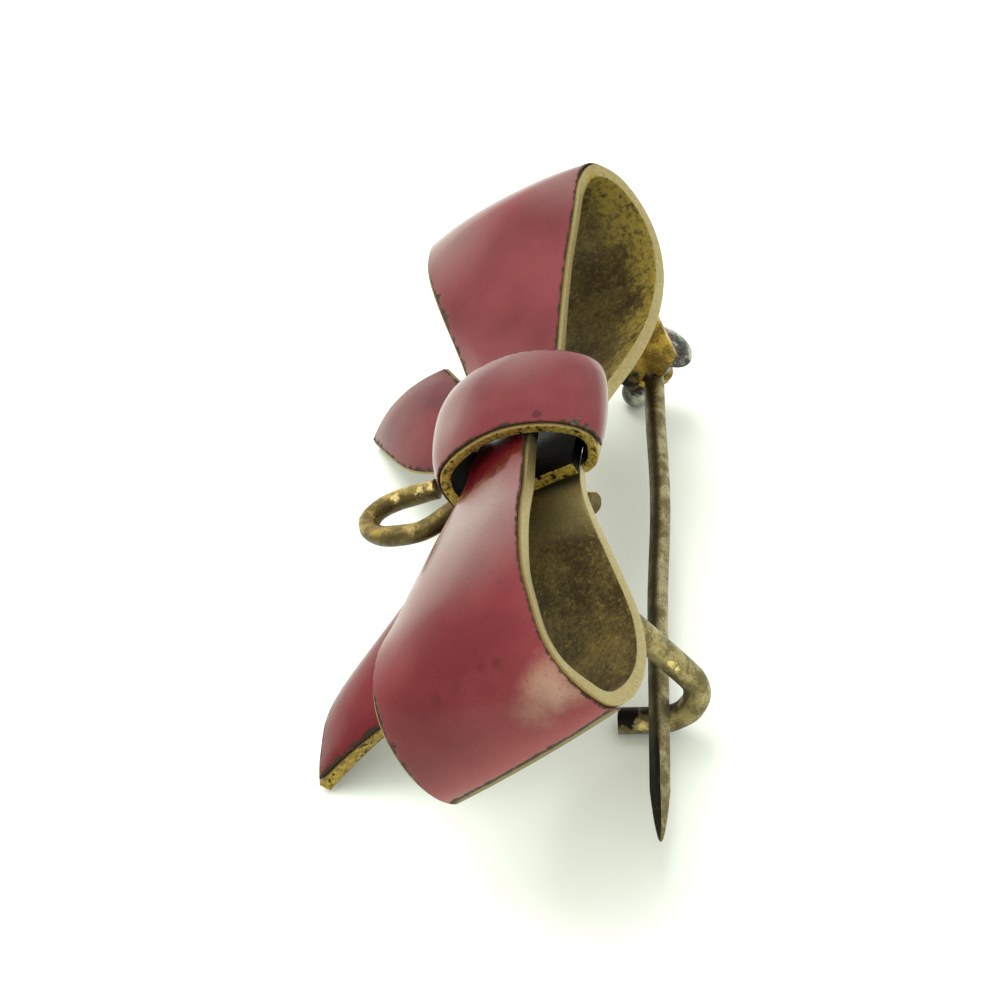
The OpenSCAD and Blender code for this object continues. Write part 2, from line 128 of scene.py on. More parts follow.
class Value:
    """A number in a node tree that takes part in Python sums."""

    def __init__(self, tree: "Nodes", socket: bpy.types.NodeSocket) -> None:
        """Keeps the tree and the socket that gives the number."""
        self.tree = tree
        self.socket = socket

    def _sum(self, operation: str, first: object, second: object) -> "Value":
        """Adds a Math node and returns what it gives."""
        node = self.tree.node("ShaderNodeMath", {"operation": operation}, {0: first, 1: second})
        return Value(self.tree, node.outputs[0])

    def __add__(self, other: object) -> "Value":
        """Returns this value plus another."""
        return self._sum("ADD", self, other)

    def __radd__(self, other: object) -> "Value":
        """Returns a number plus this value."""
        return self._sum("ADD", other, self)

    def __sub__(self, other: object) -> "Value":
        """Returns this value less another."""
        return self._sum("SUBTRACT", self, other)

    def __rsub__(self, other: object) -> "Value":
        """Returns a number less this value."""
        return self._sum("SUBTRACT", other, self)

    def __mul__(self, other: object) -> "Value":
        """Returns this value times another."""
        return self._sum("MULTIPLY", self, other)

    def __rmul__(self, other: object) -> "Value":
        """Returns a number times this value."""
        return self._sum("MULTIPLY", other, self)

    def __abs__(self) -> "Value":
        """Returns this value without its sign."""
        return self._sum("ABSOLUTE", self, 0.0)

    def largest(self, other: object) -> "Value":
        """Returns the larger of this value and another."""
        return self._sum("MAXIMUM", self, other)

    def between(self, low: object, high: object) -> "Value":
        """Makes a smooth step of this value.

        Args:
            low: Where the step starts: it is 0 at and below this.
            high: Where the step ends: it is 1 at and above this.

        Returns:
            The step.
        """
        settings = {"interpolation_type": "SMOOTHSTEP", "clamp": True}
        inputs = {"Value": self, "From Min": low, "From Max": high}
        return Value(self.tree, self.tree.node("ShaderNodeMapRange", settings, inputs).outputs[0])


@dataclass(frozen=True)
class Spot:
    """A place on the brooch that is worn, stained or chipped, or where light or shade is painted.

    Attributes:
        centre: Its rise, reach and depth in the bow's frame.
        radius: Its radius.
        soft: Share of the radius over which it fades.
        share: How strong it is, from 0 to 1.
    """

    centre: Place
    radius: float
    soft: float = 0.5
    share: float = 1.0


class Nodes:
    """Fills one node tree."""

    def __init__(self, tree: bpy.types.NodeTree) -> None:
        """Keeps the tree and empties it."""
        self.nodes, self.links = tree.nodes, tree.links
        self.nodes.clear()

    def node(self, kind: str, settings: dict[str, object],
             inputs: dict[object, object]) -> bpy.types.Node:
        """Adds a node.

        Args:
            kind: The node's type.
            settings: Its properties.
            inputs: What its inputs get, by name or number: a Value, a socket, a number or a
                colour.

        Returns:
            The node.
        """
        node = self.nodes.new(kind)
        for key, value in settings.items():
            setattr(node, key, value)
        for key, value in inputs.items():
            source = value.socket if isinstance(value, Value) else value
            if isinstance(source, bpy.types.NodeSocket):
                self.links.new(source, node.inputs[key])
            else:
                node.inputs[key].default_value = source
        return node


class Tree(Nodes):
    """Builds one material's nodes."""

    def __init__(self, name: str) -> None:
        """Starts a material.

        Args:
            name: The material's name.
        """
        self.material = bpy.data.materials.new(name)
        self.material.use_nodes = True
        super().__init__(self.material.node_tree)
        coordinates = self.node("ShaderNodeTexCoord", {}, {})
        inputs = {"Vector": coordinates.outputs["Object"], "Scale": (1 / MM,) * 3}
        self.place = self.node("ShaderNodeMapping", {}, inputs).outputs[0]
        self.rise, self.reach, self.depth = self.bow_coordinates()

    def bow_coordinates(self) -> tuple[Value, ...]:
        """Finds where the shaded point lies in the bow's frame.

        Returns:
            Its rise, reach and depth.
        """
        middle = BOW.axes() @ Vector(BOW.middle)
        inputs = {"Vector": self.place, "Location": tuple(-middle),
                  "Rotation": (0.0, math.radians(BOW.lean_deg), 0.0)}
        turned = self.node("ShaderNodeMapping", {}, inputs)
        parts = self.node("ShaderNodeSeparateXYZ", {}, {0: turned.outputs[0]})
        return tuple(Value(self, part) for part in parts.outputs)

    def noise(self, size: float, detail: float = 3.0, roughness: float = 0.55) -> Value:
        """Adds noise.

        Args:
            size: About how large its blots are.
            detail: Number of its finer layers.
            roughness: Strength of each finer layer.

        Returns:
            Noise around 0.5.
        """
        inputs = {"Vector": self.place, "Scale": 1 / size, "Detail": detail,
                  "Roughness": roughness}
        return Value(self, self.node("ShaderNodeTexNoise", {}, inputs).outputs[0])

    def attribute(self, name: str) -> Value:
        """Returns one of the mesh's own attributes."""
        node = self.node("ShaderNodeAttribute", {"attribute_name": name}, {})
        return Value(self, node.outputs["Fac"])

    def near(self, spots: Sequence[Spot], ragged: float = 0.6) -> Value:
        """Masks some spots.

        Args:
            spots: The spots.
            ragged: How ragged their borders are.

        Returns:
            Up to 1 in any of the spots and 0 outside them.
        """
        share = self.rise * 0.0
        for spot in spots:
            inputs = {0: self.place, 1: tuple(BOW.point(*spot.centre) / MM)}
            node = self.node("ShaderNodeVectorMath", {"operation": "DISTANCE"}, inputs)
            waves = (self.noise(spot.radius) - 0.5) * spot.radius * ragged * 3
            away = Value(self, node.outputs["Value"]) + waves
            outside = away.between(spot.radius * (1 - spot.soft), spot.radius)
            share = share.largest((1 - outside) * spot.share)
        return share

    def mix(self, factor: object, first: object, second: object) -> bpy.types.NodeSocket:
        """Mixes two colours.

        Args:
            factor: The share of the second colour.
            first: The first colour, or the socket that gives it.
            second: The second one.

        Returns:
            The socket that gives the mixture.
        """
        paint = [colour if isinstance(colour, bpy.types.NodeSocket) else (*colour, 1.0)
                 for colour in (first, second)]
        inputs = {0: factor, 6: paint[0], 7: paint[1]}
        return self.node("ShaderNodeMix", {"data_type": "RGBA"}, inputs).outputs[2]

    def bump(self, height: Value, depth: float) -> bpy.types.NodeSocket:
        """Returns a normal bent by a height from 0 to 1, for a relief of some millimetres."""
        inputs = {"Height": height, "Distance": depth * MM, "Strength": 1.0}
        return self.node("ShaderNodeBump", {}, inputs).outputs[0]

    def surface(self, **inputs: object) -> bpy.types.Material:
        """Adds the surface shader.

        Args:
            inputs: What its inputs get, each under its name in lower case.

        Returns:
            The finished material.
        """
        named = {key.replace("_", " ").title(): value for key, value in inputs.items()}
        if "Ior" in named:
            named["IOR"] = named.pop("Ior")
        shader = self.node("ShaderNodeBsdfPrincipled", {}, named)
        self.node("ShaderNodeOutputMaterial", {}, {"Surface": shader.outputs[0]})
        return self.material


@dataclass(frozen=True)
class Enamel:
    """Glossy translucent enamel with a dark, chipped border.

    Attributes:
        body: Its colour where it lies thin and clear.
        deep: Its colour where it lies thick.
        painted_sheen: Its colour where a milky reflection is painted.
        pale: Its colour where it is worn down to the flux.
        shadow_and_stain: Its colour where it is stained or painted in shadow.
        chip: Colour of the dirt along its border.
        bare: Colour of the ground in its larger chips.
        glow: Its colour where it thins out towards the fold.
        metal: Colour of the metal that it has worn off behind the fold.
        gloss: Refractive index of its surface.
        coat: Weight of its polished coat.
        cloud: Size of the clouds in its colour.
        crumb: Size of the crumbs that its border breaks into.
        speck: Size of its specks.
        wave: Size of the waves of its skin.
        relief: Depth of the relief of its skin.
        border: Mean width of the dark border.
        fold_turn: How far a face looks back where the enamel ends at the fold; over 1 where it
            has no fold.
        painted_sheen_spots: Places where a milky reflection is painted.
        worn: Places worn pale.
        shaded_and_stained: Places painted dark red: the knot's painted shadow, and stains.
        dirty: Places with a wider dark border.
        chipped: Places chipped off.
    """

    body: Colour = (0.155, 0.020, 0.021)
    deep: Colour = (0.110, 0.008, 0.010)
    painted_sheen: Colour = (0.225, 0.150, 0.128)
    pale: Colour = (0.330, 0.190, 0.125)
    shadow_and_stain: Colour = (0.065, 0.003, 0.005)
    chip: Colour = (0.030, 0.020, 0.010)
    bare: Colour = (0.130, 0.105, 0.070)
    glow: Colour = (0.250, 0.035, 0.033)
    metal: Colour = (0.190, 0.155, 0.065)
    gloss: float = 1.36
    coat: float = 0.2
    cloud: float = 4.5
    crumb: float = 0.45
    speck: float = 0.07
    wave: float = 2.2
    relief: float = 0.03
    border: float = 0.05
    fold_turn: float = 2.0
    painted_sheen_spots: tuple[Spot, ...] = ()
    worn: tuple[Spot, ...] = ()
    shaded_and_stained: tuple[Spot, ...] = ()
    dirty: tuple[Spot, ...] = ()
    chipped: tuple[Spot, ...] = ()

    def material(self, name: str) -> bpy.types.Material:
        """Builds the finish.

        Args:
            name: The material's name.

        Returns:
            The material.
        """
        tree = Tree(name)
        clouds, crumbs = tree.noise(self.cloud, 3, 0.5), tree.noise(self.crumb, 4, 0.7)
        specks, rim = tree.noise(self.speck, 2, 0.6), tree.attribute("rim")
        turn = tree.attribute("turn") + (crumbs - 0.5) * 0.2
        fold = self.fold_turn
        paint = tree.mix(clouds.between(0.35, 0.65), self.deep, self.body)
        paint = tree.mix((1 - rim.between(0.1, 0.7)) * 0.35, paint, self.body)
        # Painted reflection: a milky sheen of the bright surroundings.
        paint = tree.mix(tree.near(self.painted_sheen_spots, 0.12), paint, self.painted_sheen)
        paint = tree.mix(turn.between(fold - 0.75, fold - 0.1) * 0.8, paint, self.glow)
        # Painted shadow: dark red where the knot shades the near loop; the other spots are
        # stains.
        paint = tree.mix(tree.near(self.shaded_and_stained, 0.4), paint, self.shadow_and_stain)
        worn = tree.near(self.worn, 0.35)
        paint = tree.mix(worn, paint, self.pale)
        paint = tree.mix((0.5 - specks).between(0.06, 0.22) * 0.45, paint, self.shadow_and_stain)
        paint = tree.mix((specks - 0.5).between(0.12, 0.25) * 0.1, paint, self.pale)
        width = self.border * (1 + 3 * tree.near(self.dirty, 0.1))
        ragged = rim + (0.5 - crumbs) * 6 * width
        edge = 1 - ragged.between(width * 0.4, width * 1.4)
        bare = edge.largest(turn.between(fold - 0.04, fold))
        paint = tree.mix(bare, paint, self.chip)
        paint = tree.mix(turn.between(fold + 0.04, fold + 0.12), paint, self.metal)
        chipped = tree.near(self.chipped, 0.9)
        ground = tree.mix(tree.noise(0.2, 3, 0.7).between(0.4, 0.6), self.chip, self.bare)
        paint = tree.mix(chipped, paint, ground)
        lost = bare.largest(chipped)
        rubs = tree.noise(0.3, 2, 0.6) * worn * 0.3
        skin = tree.noise(self.wave, 2, 0.4) * 0.8 + specks * 0.03 + rubs - lost
        return tree.surface(base_color=paint, roughness=0.24 + lost * 0.45 + worn * 0.12,
                            coat_weight=(1 - lost) * self.coat, coat_roughness=0.1,
                            ior=self.gloss, normal=tree.bump(skin, self.relief))


@dataclass(frozen=True)
class GiltSheet:
    """Gilt sheet metal: pale worn rims, tarnished inner faces and bright raw cuts.

    Attributes:
        rim: Colour of the rubbed rims.
        outer: Colour of the outer faces.
        tarnish: Darkest colour of the inner faces.
        olive: Colour of the inner faces where they are cleaner.
        lit_and_crumb_yellow: Colour of painted light near the upper rim and of yellow crumbs.
        raw: Colour of the cut ends.
        shade_and_dirt: Colour of the painted shade and of the dirt in the pits of the cuts.
        side: 1 for a strip that reaches to the left, -1 for one that reaches to the right.
        painted_light_rise: Rise from which painted light turns the inner faces yellow.
        raw_reach: Reaches between which end faces are raw cuts.
        painted_shade_reach: Reaches over which the inner faces go from painted shade to clean.
        painted_shadow_reach: Reaches over which all faces go from painted black shadow to clean.
        blot: Size of the blots of tarnish.
        pit: Size of the pits.
        grain: Size of the grain.
        relief: Depth of the relief.
    """

    rim: Colour = (0.40, 0.32, 0.13)
    outer: Colour = (0.28, 0.20, 0.07)
    tarnish: Colour = (0.055, 0.034, 0.010)
    olive: Colour = (0.20, 0.145, 0.040)
    lit_and_crumb_yellow: Colour = (0.33, 0.25, 0.040)
    raw: Colour = (0.52, 0.38, 0.070)
    shade_and_dirt: Colour = (0.008, 0.006, 0.005)
    side: float = 1.0
    painted_light_rise: float = 3.0
    raw_reach: tuple[float, float] = (0.0, 3.3)
    painted_shade_reach: tuple[float, float] = (2.3, 4.2)
    painted_shadow_reach: tuple[float, float] = (1.6, 2.1)
    blot: float = 2.2
    pit: float = 0.3
    grain: float = 0.13
    relief: float = 0.04

    def material(self, name: str) -> bpy.types.Material:
        """Builds the finish.

        Args:
            name: The material's name.

        Returns:
            The material.
        """
        tree = Tree(name)
        blots, pits = tree.noise(self.blot, 4, 0.6), tree.noise(self.pit, 4, 0.75)
        grain = tree.noise(self.grain, 3, 0.7)
        away, along = abs(tree.reach), tree.reach * self.side
        inner = tree.attribute("inner").between(0.35, 0.6)
        clean = (blots * 0.45 + grain * 0.35 + pits * 0.25).between(0.42, 0.64)
        inside = tree.mix(clean, self.tarnish, self.olive)
        # Painted light: the inner faces turn yellow towards the upper rim, where light falls into
        # the hollow.
        height = tree.rise + (blots - 0.5) * 5 + (pits - 0.5) * 4
        painted_light = height.between(self.painted_light_rise - 1.0, self.painted_light_rise + 1.2)
        glints_and_rubs = (pits * 0.7 + grain * 0.3).between(0.36, 0.56)
        inside = tree.mix(painted_light * glints_and_rubs, inside, self.lit_and_crumb_yellow)
        crumbs = (pits * 0.6 + grain * 0.4).between(0.56, 0.62)
        inside = tree.mix(crumbs * 0.5, inside, self.lit_and_crumb_yellow)
        holes = 1 - (pits * 0.5 + grain * 0.5).between(0.37, 0.45)
        inside = tree.mix(holes * 0.7, inside, self.tarnish)
        outside = tree.mix(grain.between(0.3, 0.7), dimmed(self.rim, 0.72), self.rim)
        front = 1 - tree.attribute("inner").between(-0.75, -0.4)
        paint = tree.mix(inner, tree.mix(front, outside, self.outer), inside)
        # Painted shade: faces in and under the knot band are painted black where its shadow
        # falls.
        crevice_shade = (1 - (along + (blots - 0.5) * 1.5).between(*self.painted_shade_reach)) * inner
        painted_shade = crevice_shade.largest(1 - along.between(*self.painted_shadow_reach))
        paint = tree.mix(painted_shade, paint, self.shade_and_dirt)
        first, last = self.raw_reach
        within = away.between(first - 0.01, first) * (1 - away.between(last, last + 0.01))
        cut = tree.attribute("end").between(0.6, 0.8) * within
        ragged = tree.mix(grain.between(0.35, 0.6), dimmed(self.raw, 0.5), self.raw)
        ragged = tree.mix(pits.between(0.38, 0.48), self.shade_and_dirt, ragged)
        paint = tree.mix(cut, paint, ragged)
        skin = grain * 0.6 + blots * 0.4 + pits * cut * 2
        return tree.surface(base_color=paint, metallic=(0.85 - inner * 0.3).largest(painted_shade),
                            roughness=0.40 + inner * 0.2 + painted_shade * 0.15,
                            normal=tree.bump(skin, self.relief))


@dataclass(frozen=True)
class Wire:
    """Old wire with rubbed and tarnished places, painted shade and painted glints.

    Attributes:
        bright: Colour where it is rubbed.
        dull: Colour where it is tarnished.
        share: How much of it is tarnished, from 0 to 1.
        roughness: Roughness of the rubbed metal.
        shade_from: How far a face looks to the shaded side where the painted shade starts.
        hot: Colour of the painted glints and of the places rubbed flat.
        shade_and_dirt: Colour of the painted shade and of the black places.
        glints_and_rubs: Places painted bright: painted glints on flats, and places rubbed flat.
        black: Places painted black: painted shade on the bracket's left, dark places on the
            catch.
        painted_black_shade: Reaches to the right between which the shaded side is painted black.
        blot: Size of the blots of tarnish.
        grain: Size of the grain.
        relief: Depth of the relief.
    """

    bright: Colour
    dull: Colour
    share: float = 0.5
    roughness: float = 0.3
    shade_from: float = 0.0
    hot: Colour = (0.80, 0.62, 0.24)
    shade_and_dirt: Colour = (0.012, 0.010, 0.008)
    glints_and_rubs: tuple[Spot, ...] = ()
    black: tuple[Spot, ...] = ()
    painted_black_shade: tuple[float, float] = (99.0, 100.0)
    blot: float = 0.8
    grain: float = 0.1
    relief: float = 0.05

    def material(self, name: str) -> bpy.types.Material:
        """Builds the finish.

        Args:
            name: The material's name.

        Returns:
            The material.
        """
        tree = Tree(name)
        blots, grain = tree.noise(self.blot, 4, 0.6), tree.noise(self.grain, 3, 0.7)
        clean = (blots * 0.75 + grain * 0.3).between(self.share, self.share + 0.25)
        paint = tree.mix(clean, self.dull, self.bright)
        # Painted shade: faces that look to one side are darkened, as if turned from the light.
        shade = tree.attribute("shade")
        dark = shade.between(self.shade_from, self.shade_from + 0.6) * 0.85
        paint = tree.mix(dark, paint, dimmed(self.dull, 0.3))
        # Painted shade: near the pin's point the side turned from the light is painted black.
        painted_black_shade = (0 - tree.reach).between(*self.painted_black_shade) * blots.between(0.32, 0.46)
        shade_and_dirt = tree.near(self.black).largest(painted_black_shade * shade.between(0.35, 0.75) * 0.9)
        paint = tree.mix(shade_and_dirt, paint, self.shade_and_dirt)
        # Painted highlight: glints on the flats, together with places rubbed bright.
        hot = tree.near(self.glints_and_rubs, 0.9)
        paint = tree.mix(hot, paint, self.hot)
        skin = blots + grain * 0.3 + hot * 0.4
        return tree.surface(base_color=paint, metallic=shade_and_dirt.largest(0.9),
                            roughness=self.roughness + 0.22 - clean * 0.2 - hot * 0.15,
                            normal=tree.bump(skin, self.relief))


@dataclass(frozen=True)
class TableTop:
    """The plain pale table.

    Attributes:
        paint: Its colour.
        cloud: Size of the faint clouds in it.
    """

    paint: Colour = (0.89, 0.95, 0.84)
    cloud: float = 30.0

    def material(self, name: str) -> bpy.types.Material:
        """Builds the finish.

        Args:
            name: The material's name.

        Returns:
            The material.
        """
        tree = Tree(name)
        clouds = tree.noise(self.cloud, 2).between(0.3, 0.7)
        tone = tree.mix(clouds, dimmed(self.paint, 0.985), self.paint)
        return tree.surface(base_color=tone, roughness=0.55)


def take_alone(piece: bpy.types.Object) -> None:
    """Deselects everything, then selects one object and makes it active.

    Args:
        piece: The object.
    """
    bpy.ops.object.select_all(action="DESELECT")
    piece.select_set(True)
    bpy.context.view_layer.objects.active = piece


@contextmanager
def editing(piece: bpy.types.Object) -> Iterator[None]:
    """Goes into edit mode on one object, with all of its mesh selected, and out again.

    Args:
        piece: The object.
    """
    take_alone(piece)
    bpy.ops.object.mode_set(mode="EDIT")
    bpy.ops.mesh.select_mode(type="VERT")
    bpy.ops.mesh.select_all(action="SELECT")
    yield
    bpy.ops.object.mode_set(mode="OBJECT")


def apply_modifier(piece: bpy.types.Object, kind: str, **settings: object) -> None:
    """Adds a modifier and applies it.

    Args:
        piece: The object that gets it.
        kind: The modifier's type.
        settings: Its properties.
    """
    take_alone(piece)
    modifier = piece.modifiers.new(kind.lower(), kind)
    for key, value in settings.items():
        setattr(modifier, key, value)
    bpy.ops.object.modifier_apply(modifier=modifier.name)


def round_edges(piece: bpy.types.Object, radius: float, segments: int) -> None:
    """Rounds a piece's sharp edges to a radius in millimetres with a number of segments."""
    apply_modifier(piece, "BEVEL", width=radius * MM, segments=segments, limit_method="ANGLE",
                   angle_limit=SHARP_EDGE)


def copy_of(node: str) -> bpy.types.Object:
    """Copies a CAD node's mesh and merges it, in quads where it can be.

    Args:
        node: The node.

    Returns:
        The copy.
    """
    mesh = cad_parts[node].data.copy()
    mesh.materials.clear()
    piece = bpy.data.objects.new(f"{node}_finish", mesh)
    bpy.context.scene.collection.objects.link(piece)
    take_alone(piece)
    bpy.ops.mesh.customdata_custom_splitnormals_clear()
    with editing(piece):
        bpy.ops.mesh.remove_doubles(threshold=WELD)
        bpy.ops.mesh.tris_convert_to_quads(face_threshold=math.radians(50),
                                           shape_threshold=math.radians(60))
        bpy.ops.mesh.normals_make_consistent(inside=False)
    return piece


def points_on_rims(piece: bpy.types.Object) -> list[Vector]:
    """Finds points along a mesh's sharp edges.

    Args:
        piece: The piece.

    Returns:
        The points, at most a rim step apart.
    """
    with editing(piece):
        bpy.ops.mesh.select_all(action="DESELECT")
        bpy.ops.mesh.select_mode(type="EDGE")
        bpy.ops.mesh.edges_select_sharp(sharpness=SHARP_EDGE)
    points = []
    corners = piece.data.vertices
    for edge in piece.data.edges:
        if edge.select:
            start, end = (corners[index].co for index in edge.vertices)
            steps = max(1, math.ceil((end - start).length / RIM_STEP))
            points += [start.lerp(end, step / steps) for step in range(steps + 1)]
    return points


def store(piece: bpy.types.Object, name: str, values: Sequence[float],
          domain: str = "POINT") -> None:
    """Keeps one number for each vertex, or for each face, as an attribute."""
    layer = piece.data.attributes.new(name, "FLOAT", domain)
    layer.data.foreach_set("value", np.asarray(values, np.float32))


def store_rim(piece: bpy.types.Object, points: Sequence[Vector]) -> None:
    """Keeps each vertex's distance to the nearest rim, in millimetres, as "rim".

    Args:
        piece: The piece.
        points: Points on its rims.
    """
    tree = KDTree(len(points))
    for index, point in enumerate(points):
        tree.insert(point, index)
    tree.balance()
    store(piece, "rim", [tree.find(corner.co)[2] / MM for corner in piece.data.vertices])


def store_inner(piece: bpy.types.Object, region: Region, middle: tuple[float, float]) -> None:
    """Keeps how far each vertex faces inwards as "inner" and to the sides as "end".

    Args:
        piece: The piece of sheet metal.
        region: What the piece encloses.
        middle: The middle of that hollow in the bow's frame: reach and depth, or rise and depth.
    """
    axes = BOW.axes()
    values = []
    for corner in piece.data.vertices:
        place, normal = BOW.seen_from_bow(corner.co), axes @ corner.normal
        if region is Region.TAIL:
            inwards = Vector((0, 0, -1))
        elif region is Region.LOOP:
            inwards = Vector((0, middle[0] - place.y, middle[1] - place.z)).normalized()
        else:
            inwards = Vector((middle[0] - place.x, 0, middle[1] - place.z)).normalized()
        values.append(normal.dot(inwards))
    store(piece, "inner", values)
    store(piece, "end", [abs((axes @ corner.normal).y) for corner in piece.data.vertices])


def store_shade(piece: bpy.types.Object, away: Place, by_face: bool = False) -> None:
    """Keeps how far each vertex or face looks to the side painted in shade as "shade".

    Args:
        piece: The piece.
        away: The direction that is painted darkest, in the row frame.
        by_face: Whether each face has one number.
    """
    side = Vector(away).normalized()
    parts = piece.data.polygons if by_face else piece.data.vertices
    turns = [part.normal.dot(side) for part in parts]
    store(piece, "shade", turns, "FACE" if by_face else "POINT")


def finish_piece(piece: bpy.types.Object, body: str, node: str,
                 paint: bpy.types.Material) -> None:
    """Smooths a piece, gives it its material and ties it to the frame.

    Args:
        piece: The piece.
        body: The CAD body that it rides on.
        node: The CAD node that it replaces.
        paint: Its material.
    """
    take_alone(piece)
    bpy.ops.object.shade_smooth_by_angle(angle=SMOOTH_EDGE)
    piece.data.materials.clear()
    piece.data.materials.append(paint)
    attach(piece, body)
    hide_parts(node)
    log.info("%s: %d faces, %s", piece.name, len(piece.data.polygons), paint.name)


@dataclass
class Assembly:
    """A group of pieces that ride on one body.

    Attributes:
        body: The CAD body they ride on.
        bevel: Radius of the rounded edges.
        levels: Number of subdivisions.
    """

    body: str = "bow"
    bevel: float = 0.05
    levels: int = 2

    def refined(self, node: str, bevel: Optional[float] = None, rough: float = 0.0,
                seed: int = 0) -> bpy.types.Object:
        """Makes a finer, rounded copy of a CAD node that knows its distance to its rims.

        Args:
            node: The node.
            bevel: Radius of its edges, or None for the assembly's.
            rough: How far its surface is knocked about.
            seed: Seed of that.

        Returns:
            The copy.
        """
        piece = copy_of(node)
        points = points_on_rims(piece)
        if rough:
            with editing(piece):
                bpy.ops.transform.vertex_random(offset=rough * MM, normal=1.0, seed=seed)
        round_edges(piece, self.bevel if bevel is None else bevel, 2)
        apply_modifier(piece, "SUBSURF", levels=self.levels, render_levels=self.levels)
        store_rim(piece, points)
        return piece

    def make(self) -> None:
        """Builds and dresses the pieces."""
        raise NotImplementedError


@dataclass
class Ribbon(Assembly):
    """A strip of sheet metal and the enamel on its front.

    Attributes:
        node: The CAD node of the metal.
        glaze_node: The CAD node of the enamel.
        region: What the strip encloses.
        hollow: The middle of that hollow: reach and depth for a loop, rise and depth for the
            knot.
        sheet: Finish of the metal.
        enamel: Finish of the enamel.
        rough: How far the metal is knocked about.
        glaze_bevel: Radius of the enamel's edges.
        spread: How far the upper corner of its cut end is spread.
        root_reach: Reach below which that corner lies.
        root_rise: Rise above which it lies.
        root_fade: Distance over which the spread fades.
    """

    node: str = "right_loop"
    glaze_node: str = "right_loop_enamel"
    region: Region = Region.LOOP
    hollow: tuple[float, float] = (0.0, 0.0)
    sheet: GiltSheet = field(default_factory=GiltSheet)
    enamel: Enamel = field(default_factory=Enamel)
    rough: float = 0.006
    glaze_bevel: float = 0.04
    spread: float = 0.0
    root_reach: float = 1.6
    root_rise: float = 1.4
    root_fade: float = 1.4

    def widen_root(self, metal: bpy.types.Object) -> None:
        """Spreads the upper corner of the strip's cut end inside the knot.

        Args:
            metal: The strip.
        """
        with editing(metal):
            bpy.ops.mesh.select_all(action="DESELECT")
        for corner in metal.data.vertices:
            place = BOW.seen_from_bow(corner.co)
            corner.select = place.y < self.root_reach and place.x > self.root_rise
        take_alone(metal)
        bpy.ops.object.mode_set(mode="EDIT")
        bpy.ops.transform.translate(value=tuple(BOW.axes()[0] * self.spread * MM),
                                    use_proportional_edit=True,
                                    proportional_edit_falloff="SMOOTH",
                                    proportional_size=self.root_fade * MM)
        bpy.ops.object.mode_set(mode="OBJECT")

    def make(self) -> None:
        """Builds and dresses the sheet and the enamel."""
        metal = self.refined(self.node, rough=self.rough, seed=len(self.node))
        if self.spread:
            self.widen_root(metal)
        store_inner(metal, self.region, self.hollow)
        gilt = self.sheet.material(f"{self.node}_gilt")
        finish_piece(metal, self.body, self.node, gilt)
        glaze = self.refined(self.glaze_node, self.glaze_bevel)
        store(glaze, "turn", [-(BOW.axes() @ corner.normal).z for corner in glaze.data.vertices])
        colour = self.enamel.material(self.glaze_node)
        finish_piece(glaze, self.body, self.glaze_node, colour)


@dataclass
class BentWire(Assembly):
    """A bent wire of the back, such as the hook or the catch.

    Attributes:
        bevel: Radius of its rounded ends.
        node: Its CAD node.
        slot: Its material slot; not used.
        finish: Its finish.
        shade: The direction that is painted darkest, as painted shade.
        rough: How far it is hammered.
        seed: Seed of that.
    """

    bevel: float = 0.08
    node: str = "watch_hook"
    slot: str = "gilt_wire"
    finish: Wire = Wire((0.60, 0.42, 0.12), (0.16, 0.12, 0.05), 0.46, 0.26)
    shade: Place = (0.3, -0.9, -0.4)
    rough: float = 0.03
    seed: int = 1

    def make(self) -> None:
        """Builds and dresses the wire."""
        piece = self.refined(self.node, rough=self.rough, seed=self.seed)
        store_shade(piece, self.shade)
        metal = self.finish.material(f"{self.node}_metal")
        finish_piece(piece, self.body, self.node, metal)


@dataclass
class Hinge(Assembly):
    """The bracket, the rivet and the knuckle.

    Attributes:
        bevel: Radius of their rounded edges.
        knuckle_body: The CAD body that the knuckle rides on.
        shade: The direction that is painted darkest, as painted shade.
        bracket: Finish of the bracket.
        steel: Finish of the rivet and the knuckle.
    """

    bevel: float = 0.04
    knuckle_body: str = "pin"
    shade: Place = (-0.9, 0.0, -0.4)
    # The bracket's black spots are painted shade on its left side, where cheek and knuckle lie in
    # shadow.
    bracket: Wire = Wire((0.50, 0.33, 0.05), (0.17, 0.10, 0.02), 0.42, 0.3,
                         black=(Spot((-1.3, 11.5, -8.0), 0.9), Spot((-0.2, 12.6, -8.6), 0.8)))
    steel: Wire = Wire((0.44, 0.44, 0.35), (0.045, 0.043, 0.035), 0.42, 0.25)

    def make(self) -> None:
        """Builds and dresses the three pieces."""
        for node, body, slot, finish in (
                ("hinge_bracket", self.body, "bracket_brass", self.bracket),
                ("hinge_rivet", self.body, "dark_steel", self.steel),
                ("pin_knuckle", self.knuckle_body, "dark_steel", self.steel)):
            piece = copy_of(node)
            with editing(piece):
                bpy.ops.mesh.dissolve_limited(angle_limit=math.radians(1))
            round_edges(piece, self.bevel, 3)
            with editing(piece):
                bpy.ops.mesh.remove_doubles(threshold=WELD / 2)
            store_shade(piece, self.shade)
            finish_piece(piece, body, node, finish.material(f"{node}_metal"))


@dataclass(frozen=True)
class Flat:
    """A flat ground on the pin's point.

    Attributes:
        angle_deg: Where it lies round the stem, from the side of the bow's top.
        depth: Its distance to the stem's middle line where its measure is taken.
        slope: How fast it runs in towards the tip.
    """

    angle_deg: float
    depth: float
    slope: float


